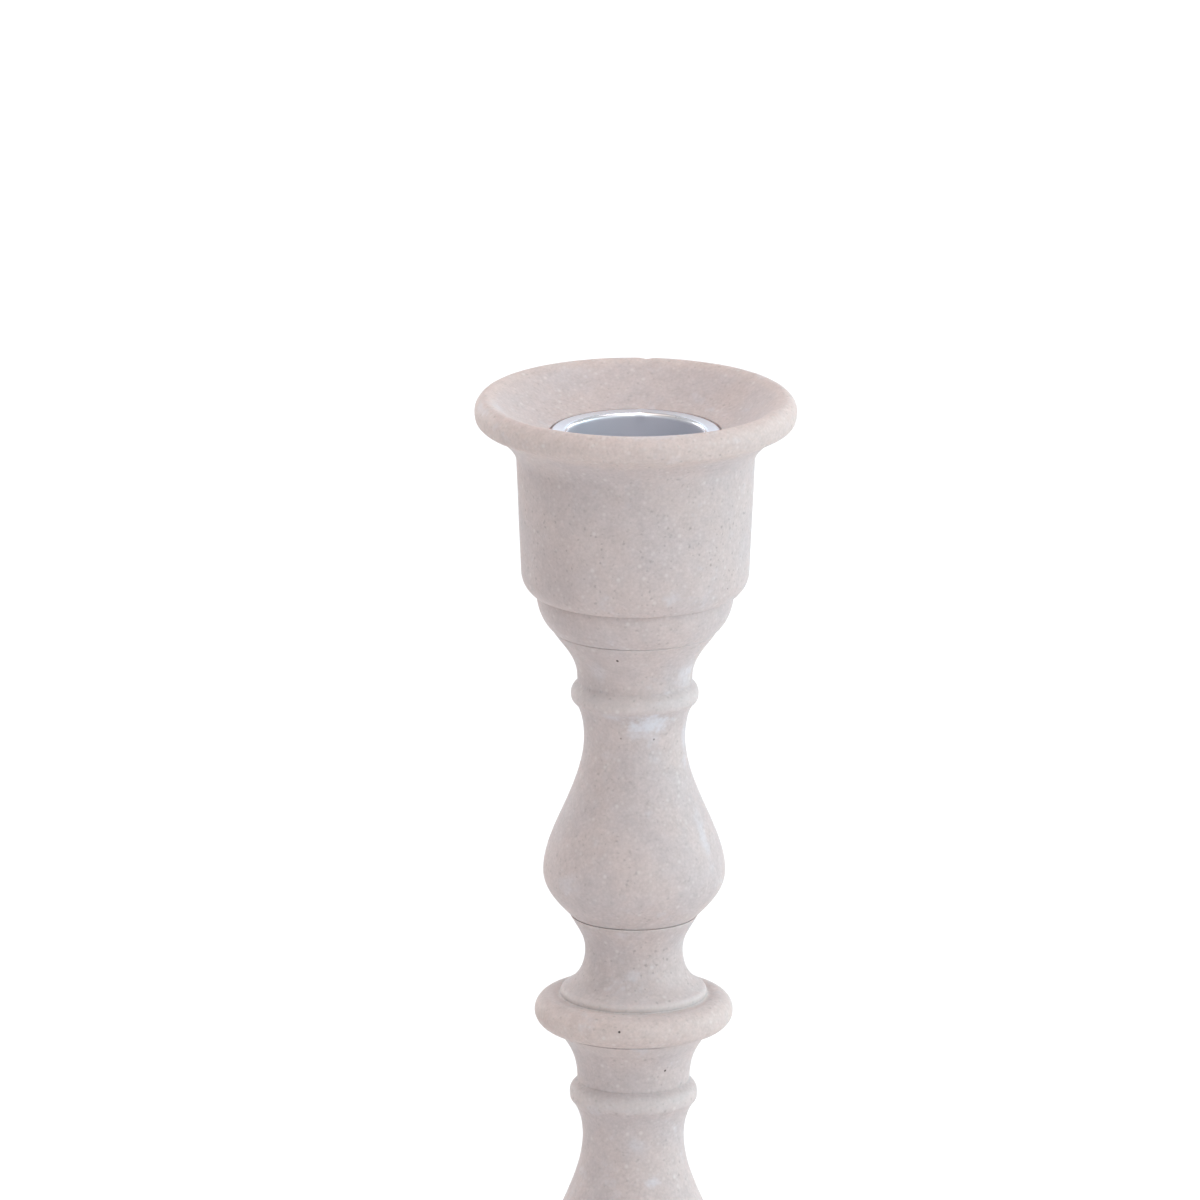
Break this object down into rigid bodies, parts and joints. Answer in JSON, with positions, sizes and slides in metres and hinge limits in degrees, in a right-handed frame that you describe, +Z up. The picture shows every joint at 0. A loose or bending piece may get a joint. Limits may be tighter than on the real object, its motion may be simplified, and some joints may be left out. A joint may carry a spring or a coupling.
{
  "type": "candlestick",
  "caption": "Slender turned candlestick in speckled cast stone: stacked baluster sections on a tie rod, a cup with a rolled lip, a loose metal candle insert and a round stepped foot.",
  "frame": {"origin": "centre of the felt pad's underside, on the surface that the candlestick stands on", "axes": "+Z up along the axis of the turned sections; the object is a solid of revolution, so +X and +Y are any two directions square to it"},
  "size_m": [0.078, 0.078, 0.2],
  "materials": {
    "stone": "matte",
    "insert_metal": "satin",
    "zinc_steel": "satin",
    "felt": "matte"
  },
  "bodies": {
    "candlestick": {"candle_cup": "stone", "cup_seat": "stone", "upper_baluster": "stone", "upper_spool": "stone", "knop": "stone", "lower_baluster": "stone", "lower_spool": "stone", "foot": "stone", "tie_rod": "zinc_steel", "top_washer": "zinc_steel", "top_nut": "zinc_steel", "base_washer": "zinc_steel", "base_nut": "zinc_steel", "felt_pad": "felt"},
    "insert": {"candle_insert": "insert_metal"}
  },
  "joints": [
    {"name": "insert_lift", "type": "slide", "parent": "candlestick", "child": "insert", "axis": [0, 0, 1], "range_m": [0, 0.035]}
  ]
}
